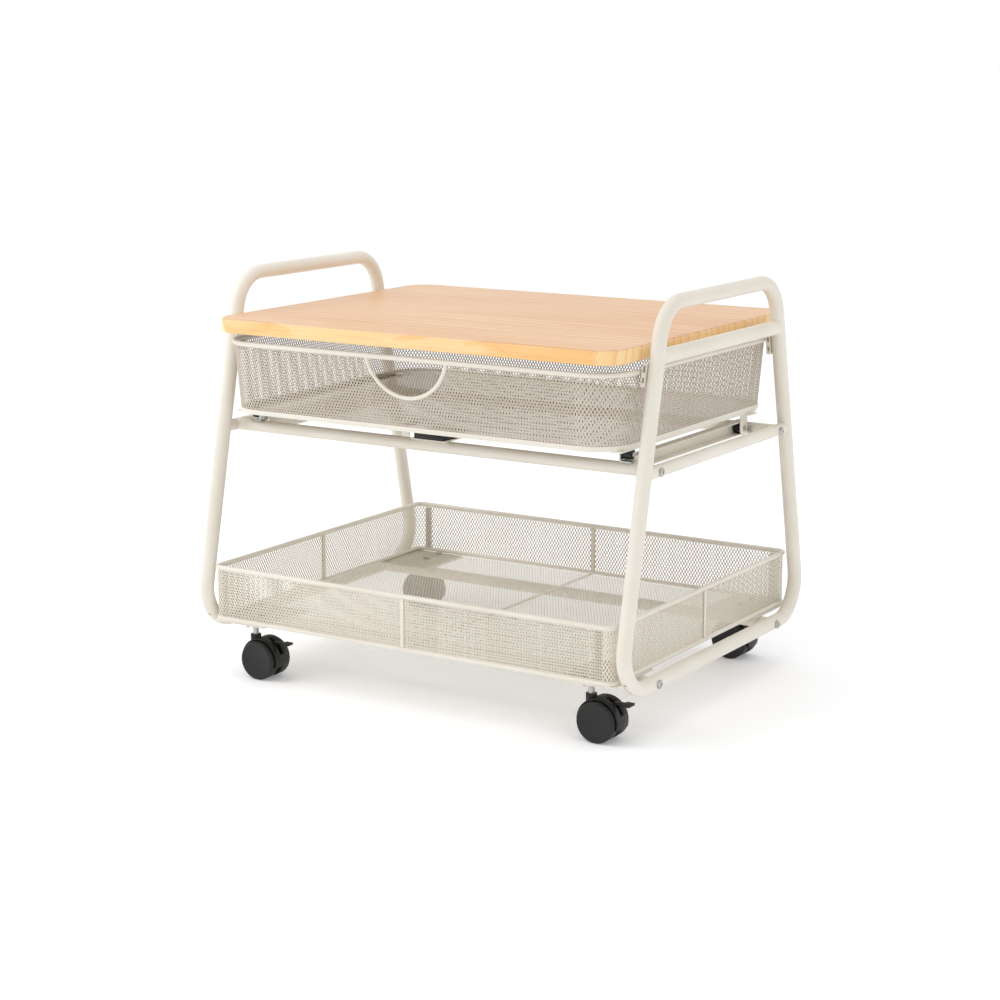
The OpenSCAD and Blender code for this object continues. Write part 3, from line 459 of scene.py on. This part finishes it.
def flat_tree():
    """A Geometry Nodes tree for a flat sheet of diamond mesh with round corners."""
    tree = bpy.data.node_groups.new("flat diamond mesh", "GeometryNodeTree")
    face = tree.interface
    face.new_socket("Geometry", in_out="INPUT", socket_type="NodeSocketGeometry")
    for name, kind in (("Width", "Float"), ("Length", "Float"), ("Corner", "Float"),
            ("Pitch X", "Float"), ("Pitch Y", "Float"), ("Strand Width", "Float"),
            ("Material", "Material")):
        face.new_socket(name, in_out="INPUT", socket_type="NodeSocket" + kind)
    face.new_socket("Geometry", in_out="OUTPUT", socket_type="NodeSocketGeometry")
    given = tree.nodes.new("NodeGroupInput").outputs

    def math_node(op, a, b=0.0, c=0.0):
        return node(tree, "ShaderNodeMath", {"operation": op}, i0=a, i1=b, i2=c).outputs[0]

    columns = math_node("CEIL", math_node("DIVIDE", given["Width"], given["Pitch X"]))
    rise = math_node("MULTIPLY", given["Pitch Y"], 0.5)
    rows = math_node("CEIL", math_node("DIVIDE", given["Length"], rise))
    index = node(tree, "GeometryNodeInputIndex").outputs[0]
    row = math_node("FLOOR", math_node("DIVIDE", math_node("ADD", index, 0.5), columns))
    column = math_node("SUBTRACT", index, math_node("MULTIPLY", row, columns))
    shift = math_node("MULTIPLY", math_node("MODULO", row, 2.0), 0.5)
    half_w = math_node("MULTIPLY", given["Width"], 0.5)
    half_l = math_node("MULTIPLY", given["Length"], 0.5)
    x = math_node("SUBTRACT", math_node("MULTIPLY", math_node("ADD", column, shift),
        given["Pitch X"]), half_w)
    y = math_node("SUBTRACT", math_node("MULTIPLY", row, rise), half_l)
    at = node(tree, "ShaderNodeCombineXYZ", X=x, Y=y).outputs[0]
    crossings = node(tree, "GeometryNodePoints", Count=math_node("MULTIPLY", columns, rows),
        Position=at).outputs[0]
    gap_x = math_node("MAXIMUM", math_node("SUBTRACT", math_node("ADD", math_node("ABSOLUTE", x),
        given["Corner"]), half_w), 0.0)
    mid_y = math_node("ADD", y, math_node("MULTIPLY", rise, 0.5))
    gap_y = math_node("MAXIMUM", math_node("SUBTRACT", math_node("ADD", math_node("ABSOLUTE",
        mid_y), given["Corner"]), half_l), 0.0)
    away = math_node("SQRT", math_node("ADD", math_node("MULTIPLY", gap_x, gap_x),
        math_node("MULTIPLY", gap_y, gap_y)))
    outside = math_node("GREATER_THAN", away, math_node("SUBTRACT", given["Corner"],
        math_node("MULTIPLY", rise, 0.5)))
    crossings = node(tree, "GeometryNodeDeleteGeometry", {"domain": "POINT"}, Geometry=crossings,
        Selection=outside).outputs[0]
    ribbon = node(tree, "GeometryNodeCurvePrimitiveQuadrilateral", Width=given["Strand Width"],
        Height=STRAND_T).outputs[0]
    join = tree.nodes.new("GeometryNodeJoinGeometry")
    for sign in (-0.5, 0.5):
        tip = node(tree, "ShaderNodeCombineXYZ", X=math_node("MULTIPLY", given["Pitch X"], sign),
            Y=rise).outputs[0]
        line = node(tree, "GeometryNodeCurvePrimitiveLine", End=tip).outputs[0]
        strand = node(tree, "GeometryNodeCurveToMesh", Curve=line, Profile_Curve=ribbon,
            Fill_Caps=True).outputs[0]
        tree.links.new(strand, join.inputs[0])
    sheet = node(tree, "GeometryNodeInstanceOnPoints", Points=crossings,
        Instance=join.outputs[0]).outputs[0]
    sheet = node(tree, "GeometryNodeRealizeInstances", Geometry=sheet).outputs[0]
    sheet = node(tree, "GeometryNodeSetMaterial", Geometry=sheet, Material=given["Material"])
    node(tree, "NodeGroupOutput", Geometry=sheet.outputs[0])
    return tree


def run_tree(tree, base, name, **values):
    """The plain mesh that a tree makes from a base mesh, with the named inputs set."""
    obj = bpy.data.objects.new(name, base)
    bpy.context.scene.collection.objects.link(obj)
    mod = obj.modifiers.new("mesh", "NODES")
    mod.node_group = tree
    for item in tree.interface.items_tree:
        key = item.name.replace(" ", "_")
        if item.item_type == "SOCKET" and item.in_out == "INPUT" and key in values:
            mod[item.identifier] = values[key]
    baked(obj)
    return obj


WALL_TREE = lattice_tree()
FLAT_TREE = flat_tree()


def mesh_wall(name, w, l, r, centre_y, low_z, high_z, lean=0.0, cut_z=0.0, cut_r=0.0,
        strand=STRAND):
    """Diamond mesh round a closed outline given at the wall's foot."""
    outline = ring_points(w, l, r, 0.0, centre_y, 20)[:-1]
    base = bpy.data.meshes.new(name + "_outline")
    n = len(outline)
    base.from_pydata(outline, [(i, (i + 1) % n) for i in range(n)], [])
    around = 2 * (w + l) - (8 - 2 * math.pi) * r
    rows = round((high_z - low_z) / (DIAMOND_H / 2))
    return run_tree(WALL_TREE, base, name, Columns=round(around / DIAMOND_W), Rows=rows,
        Row_Height=(high_z - low_z) / rows, Base_Z=low_z, Lean=lean, Strand_Width=strand,
        Cut_Z=cut_z, Cut_Radius=cut_r, Material=MESH_COAT)


def mesh_sheet(name, w, l, r, place, strand=STRAND, pitch=(DIAMOND_W, DIAMOND_H)):
    """Flat diamond mesh, put in its place by a matrix."""
    obj = run_tree(FLAT_TREE, bpy.data.meshes.new(name + "_base"), name, Width=w, Length=l,
        Corner=r, Pitch_X=pitch[0], Pitch_Y=pitch[1], Strand_Width=strand, Material=MESH_COAT)
    obj.data.transform(place)
    return obj


def halves(obj, name):
    """Splits an object at x = 0 into a left and a right half."""
    out = []
    for side, sign in (("left", -1), ("right", 1)):
        bm = bmesh.new()
        bm.from_mesh(obj.data)
        seen = set()
        gone = []
        for v in bm.verts:
            if v.index in seen:
                continue
            island = [v]
            seen.add(v.index)
            i = 0
            while i < len(island):
                for e in island[i].link_edges:
                    o = e.other_vert(island[i])
                    if o.index not in seen:
                        seen.add(o.index)
                        island.append(o)
                i += 1
            if sum(p.co.x for p in island) * sign < 0:
                gone += island
        bmesh.ops.delete(bm, geom=gone, context="VERTS")
        out.append(from_bmesh(bm, side + "_" + name, False))
    bpy.data.objects.remove(obj)
    return out


def joined(objects, name):
    """One object from several."""
    bm = bmesh.new()
    for o in objects:
        bm.from_mesh(o.data)
        bpy.data.objects.remove(o)
    return from_bmesh(bm, name, False)


# ---- hoops -----------------------------------------------------------------

def hoop_path(x):
    """The closed run of one hoop's centreline."""
    tilt = math.degrees(LEG_LEAN)
    head = HANDLE_BEND * math.tan((math.pi / 2 - LEG_LEAN) / 2)
    foot = FOOT_BEND * math.tan((math.pi / 2 + LEG_LEAN) / 2)
    right = arc((FOOT_Y - foot, HOOP_LOW_Z + FOOT_BEND), -90, tilt, FOOT_BEND, 26)
    right += arc((HEAD_Y - head, HANDLE_Z - HANDLE_BEND), tilt, 90, HANDLE_BEND, 22)
    left = [(-y, z) for y, z in reversed(right)]
    return [(x, y, z) for y, z in right + left]


for side, sign in (("left", -1), ("right", 1)):
    hoop = sweep(hoop_path(sign * HOOP_X), HOOP_R, side + "_hoop_tube", sides=40)
    foot = FOOT_BEND * math.tan((math.pi / 2 + LEG_LEAN) / 2)
    out = Vector((0, -math.cos(DRAIN_TURN), -math.sin(DRAIN_TURN)))
    middle = Vector((sign * HOOP_X, foot - FOOT_Y, HOOP_LOW_Z + FOOT_BEND))
    drill = bmesh.new()
    bmesh.ops.create_cone(drill, cap_ends=True, segments=24, radius1=DRAIN_R, radius2=DRAIN_R,
        depth=6 * MM, matrix=Matrix.Translation(middle + out * (FOOT_BEND + HOOP_R)) @
        out.to_track_quat("Z", "Y").to_matrix().to_4x4())
    tool = from_bmesh(drill, "drill")
    cut = hoop.modifiers.new("drain", "BOOLEAN")
    cut.operation = "DIFFERENCE"
    cut.solver = "EXACT"
    cut.object = tool
    baked(hoop)
    bpy.data.objects.remove(tool)
    hoop.data.set_sharp_from_angle(angle=math.radians(40))
    finish_piece(hoop, "cart", TUBE_COAT, [side + "_hoop"])


# ---- board -----------------------------------------------------------------

def slab(name, outline, low_z, high_z, edge, segments=4):
    """A flat plate from an outline, its upper and lower edges rounded."""
    bm = bmesh.new()
    bottom = [bm.verts.new((x, y, low_z)) for x, y in outline]
    face = bm.faces.new(bottom)
    made = bmesh.ops.extrude_face_region(bm, geom=[face])
    for v in made["geom"]:
        if isinstance(v, bmesh.types.BMVert):
            v.co.z = high_z
    bmesh.ops.recalc_face_normals(bm, faces=bm.faces[:])
    rim = [e for e in bm.edges if abs(e.verts[0].co.z - e.verts[1].co.z) < 1e-7]
    bmesh.ops.bevel(bm, geom=rim, offset=edge, segments=segments, profile=0.5, affect="EDGES")
    obj = from_bmesh(bm, name)
    obj.data.set_sharp_from_angle(angle=math.radians(50))
    return obj


low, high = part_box("top_board")
outline = [(x, y) for x, y, z in ring_points(high[0] - low[0], high[1] - low[1], BOARD_R, 0,
    0, 16)[:-1]]
board = slab("pine_board", outline, low[2], high[2], BOARD_EDGE)
finish_piece(board, "cart", PINE, ["top_board"])


# ---- wires -----------------------------------------------------------------

def wire(node_name, body, d, w, l, r, z, centre_y=0.0):
    """Closed ring of round wire that stands for a CAD node."""
    obj = sweep(ring_points(w, l, r, z, centre_y), d / 2, node_name + "_wire", sides=20)
    return finish_piece(obj, body, TUBE_COAT, [node_name])


def centre_of(name):
    """Middle and size of a CAD node's box."""
    low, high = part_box(name)
    return [(a + b) / 2 for a, b in zip(low, high)], [b - a for a, b in zip(low, high)]


(mid, size) = centre_of("drawer_rim")
RIM_Z = mid[2]
wire("drawer_rim", "drawer", RIM_D, size[0] - RIM_D, size[1] - RIM_D, DRAWER_R - RIM_D / 2,
    RIM_Z, mid[1])
RIM_FRONT_Y = mid[1] - size[1] / 2 + RIM_D / 2
(mid, size) = centre_of("tray_rim")
wire("tray_rim", "cart", TRAY_RIM_D, size[0] - TRAY_RIM_D, size[1] - TRAY_RIM_D,
    TRAY_R - MESH_T / 2, mid[2])
(mid, size) = centre_of("tray_base_ring")
wire("tray_base_ring", "cart", TRAY_BASE_D, size[0] - TRAY_BASE_D, size[1] - TRAY_BASE_D,
    TRAY_R - MESH_T / 2, mid[2])

# The wire round the finger cut-out lies in the leaning front wall
GRIP_Z = GRIP_R - GRIP_DEPTH
sweep_angle = math.degrees(math.acos(GRIP_Z / GRIP_R))
lean_angle = math.atan(WALL_LEAN)
grip = []
for x, up in arc((0, GRIP_Z), -90 - sweep_angle, -90 + sweep_angle, GRIP_R, 60):
    grip.append((x, RIM_FRONT_Y - up * math.sin(lean_angle), RIM_Z + up * math.cos(lean_angle)))
handle = sweep(grip, GRIP_D / 2, "finger_cutout_wire", closed=False, sides=18)
finish_piece(handle, "drawer", TUBE_COAT, ["drawer_handle"])


# ---- mesh of the drawer and the tray ---------------------------------------

(mid, size) = centre_of("drawer_walls")
low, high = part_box("drawer_walls")
foot_in = (high[2] - low[2]) * WALL_LEAN
wall = mesh_wall("drawer_mesh_walls", size[0] - 2 * foot_in - MESH_T,
    size[1] - 2 * foot_in - MESH_T, DRAWER_R - RIM_D / 2 - 7 * MM, mid[1], low[2],
    high[2] + TUCK, WALL_LEAN, RIM_Z + GRIP_Z, GRIP_R)
for part in halves(wall, "drawer_mesh_walls"):
    finish_piece(part, "drawer", SHADED_DRAWER_COAT, ["drawer_walls"])

(mid, size) = centre_of("drawer_floor")
floor = mesh_sheet("drawer_mesh_floor", size[0], size[1], DRAWER_FLOOR_R,
    Matrix.Translation((0, mid[1], mid[2])), FLOOR_STRAND)
for part in halves(floor, "drawer_mesh_floor"):
    finish_piece(part, "drawer", SHADED_DRAWER_COAT, ["drawer_floor"])

(mid, size) = centre_of("tray_walls")
low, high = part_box("tray_walls")
wall = mesh_wall("tray_mesh_walls", size[0] - MESH_T, size[1] - MESH_T, TRAY_R - MESH_T / 2, 0,
    low[2] - TUCK, high[2] + TUCK)
for part in halves(wall, "tray_mesh_walls"):
    finish_piece(part, "cart", MESH_COAT, ["tray_walls"])

(mid, size) = centre_of("tray_floor")
floor = mesh_sheet("tray_mesh_floor", size[0], size[1], TRAY_FLOOR_R, Matrix.Translation(mid),
    FLOOR_STRAND)
for part in halves(floor, "tray_mesh_floor"):
    finish_piece(part, "cart", MESH_COAT, ["tray_floor"])


# ---- joint strips and lapped corners of the tray ----------------------------

def plates(places, name):
    """Flat strips from their (centre, size) pairs, as one object."""
    bm = bmesh.new()
    for centre, size in places:
        made = bmesh.ops.create_cube(bm, size=1.0)["verts"]
        bmesh.ops.transform(bm, matrix=Matrix.Translation(centre)
            @ Matrix.Diagonal((*size, 1.0)), verts=made)
    return from_bmesh(bm, name, False)


low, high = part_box("tray_walls")
mid_z, tall = (low[2] + high[2]) / 2, high[2] - low[2]
strips_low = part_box("tray_strips")[0]
floor_strip = 2 * high[1] - 2 * MESH_T - TRAY_BASE_D - 4 * MM
strips = [((0, 0, strips_low[2] + STRIP_T / 2), (JOINT_W, floor_strip, STRIP_T))]
for side in (-1, 1):
    for out in (-MESH_T - STRIP_T / 2, STRIP_T / 2):
        strips.append(((side * (high[0] + out), 0, mid_z), (STRIP_T, JOINT_W, tall)))
        strips.append(((0, side * (high[1] + out), mid_z), (JOINT_W, STRIP_T, tall)))
laps = [plates(strips, "tray_strips_flat")]
for x in (-1, 1):
    for y in (-1, 1):
        place = Matrix.Translation((x * (high[0] - MESH_T - TRAY_R - LAP_W / 2),
            y * (high[1] - MESH_T - STRIP_T / 2), mid_z)) @ Matrix.Rotation(math.pi / 2, 4, "X")
        laps.append(mesh_sheet("tray_lap", LAP_W, tall, STRIP_T, place, LAP_STRAND,
            (DIAMOND_W / 2, DIAMOND_H / 2)))
finish_piece(joined(laps, "tray_joint_strips"), "cart", MESH_COAT, ["tray_strips"])


# ---- edges of the other CAD pieces -----------------------------------------

for name in ("side_bolts", "rim_guides", "front_roller_brackets", "catch_bracket", "drawer_catch",
        "left_front_roller", "right_front_roller", "left_rear_roller", "right_rear_roller",
        "drawer_band", "catch_strike", "rear_roller_brackets", "board_tabs", "caster_plates"):
    softened(name, 0.4 * MM)
for corner in ("fl", "fr", "bl", "br"):
    softened(corner + "_caster_hood", 0.35 * MM)
    softened(corner + "_caster_wheels", 0.4 * MM)
for corner in ("fl", "fr"):
    softened(corner + "_brake_lever", 0.4 * MM)

for name, obj in frame["nodes"].items():
    if not obj.hide_render:
        material = OF_SLOT[SLOT_OF[name]]
        obj.data.materials.clear()
        obj.data.materials.append(material)


# ---- floor, light and camera -----------------------------------------------

def floor_material():
    """Pale studio sweep: matt, very slightly cool, and lit from below a little so
    that shadows stay light."""
    m, t, shader = new_material("studio_sweep")
    at = node(t, "ShaderNodeTexCoord").outputs["Object"]
    haze = node(t, "ShaderNodeTexNoise", Vector=at, Scale=1.5, Detail=1.0)
    t.links.new(ramp(t, haze.outputs["Fac"], [(0.3, "#FBFBFC"), (0.7, "#FDFDFD")]),
        shader.inputs["Base Color"])
    shader.inputs["Roughness"].default_value = 0.8
    shader.inputs["Emission Color"].default_value = linear("#F6F9FF")
    shader.inputs["Emission Strength"].default_value = 0.16
    return m


bm = bmesh.new()
bmesh.ops.create_grid(bm, x_segments=8, y_segments=8, size=40.0)
ground = from_bmesh(bm, "studio_floor")
ground.data.materials.append(floor_material())
ground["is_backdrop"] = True

world = bpy.data.worlds.new("studio")
bpy.context.scene.world = world
world.use_nodes = True
back = world.node_tree.nodes["Background"]
back.inputs["Color"].default_value = linear("#FFFFFF")
# The backdrop is seen pure white, and lights the cart a little less than that
seen = node(world.node_tree, "ShaderNodeLightPath").outputs["Is Camera Ray"]
level = node(world.node_tree, "ShaderNodeMapRange", Value=seen, To_Min=0.88, To_Max=1.0)
world.node_tree.links.new(level.outputs["Result"], back.inputs["Strength"])


def soft_light(name, place, aim, size, power, colour="#FFFFFF"):
    """A square area light that points from one place to another."""
    data = bpy.data.lights.new(name, "AREA")
    data.shape = "SQUARE"
    data.size = size
    data.energy = power
    data.color = linear(colour)[:3]
    obj = bpy.data.objects.new(name, data)
    obj.matrix_world = Matrix.Translation(place) @ (Vector(aim) - Vector(place)) \
        .to_track_quat("-Z", "Y").to_matrix().to_4x4()
    bpy.context.scene.collection.objects.link(obj)


soft_light("key", (-1.9, -1.2, 2.0), (0, 0, 0.25), 1.4, 20)
soft_light("top", (0.1, 0.3, 2.8), (0, 0, 0.3), 2.4, 9)

camera = bpy.data.cameras.new("camera")
camera.sensor_width = 36
camera.lens = 80.96
camera.clip_end = 50
eye = bpy.data.objects.new("camera", camera)
eye.location = (1.4972, -2.3966, 0.8110)
eye.rotation_euler = (math.radians(90 - 11.8), 0, math.radians(32.1))
bpy.context.scene.collection.objects.link(eye)
bpy.context.scene.camera = eye
bpy.context.scene.view_settings.view_transform = "Standard"

low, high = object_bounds()
